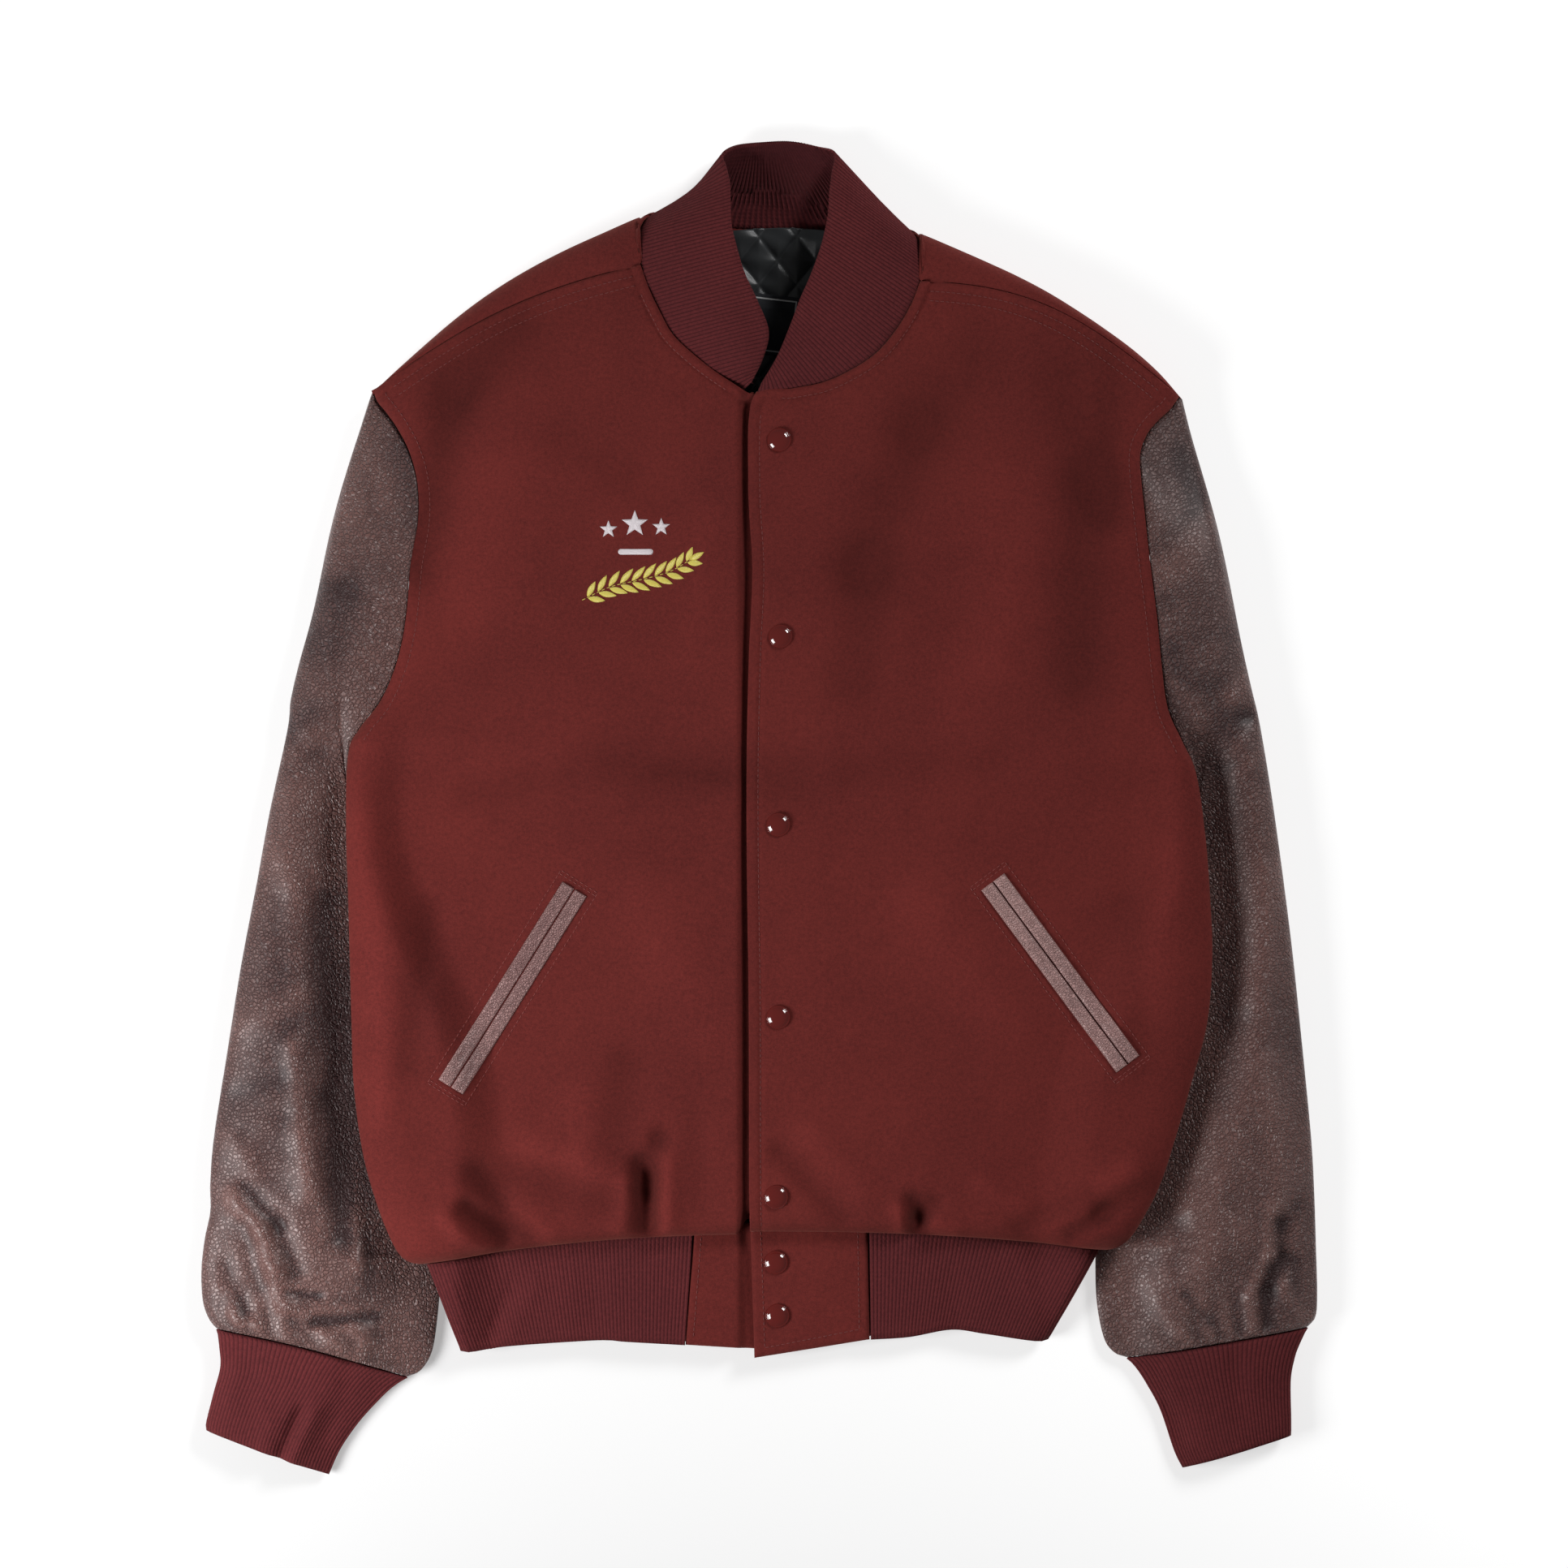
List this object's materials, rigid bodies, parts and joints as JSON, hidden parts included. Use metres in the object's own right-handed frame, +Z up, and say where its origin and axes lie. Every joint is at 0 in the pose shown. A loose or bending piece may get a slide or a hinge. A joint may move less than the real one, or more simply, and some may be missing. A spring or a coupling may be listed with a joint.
{
  "type": "varsity jacket",
  "caption": "Dark red wool varsity jacket laid flat on its back, with brown leather sleeves, ribbed knit collar, cuffs and waistband, snap front and slanted leather pocket welts.",
  "frame": {"origin": "middle of the jacket's bounding box, on the surface it lies on", "axes": "+X toward the wearer's left sleeve, +Y toward the collar, +Z up out of the front"},
  "size_m": [0.7024, 0.84, 0.0445],
  "materials": {
    "wool": "felted wool melton",
    "leather": "semi-matte pebbled cowhide",
    "rib": "ribbed wool knit",
    "satin": "quilted satin",
    "label_cloth": "woven label, left blank",
    "snap_cap": "gloss enamelled snap cap"
  },
  "bodies": {
    "root": {"front_right": "wool", "front_left": "wool", "back": "wool", "sleeve_right": "leather", "sleeve_left": "leather", "cuff_right": "rib", "cuff_left": "rib", "hem_rib": "rib", "hem_tab_right": "wool", "hem_tab_left": "wool", "collar": "rib", "welt_right_side": "leather", "welt_right_centre": "leather", "welt_left_centre": "leather", "welt_left_side": "leather", "snap_1": "snap_cap", "snap_2": "snap_cap", "snap_3": "snap_cap", "snap_4": "snap_cap", "snap_5": "snap_cap", "snap_6": "snap_cap", "snap_7": "snap_cap", "lining": "satin", "label": "label_cloth"}
  },
  "joints": []
}
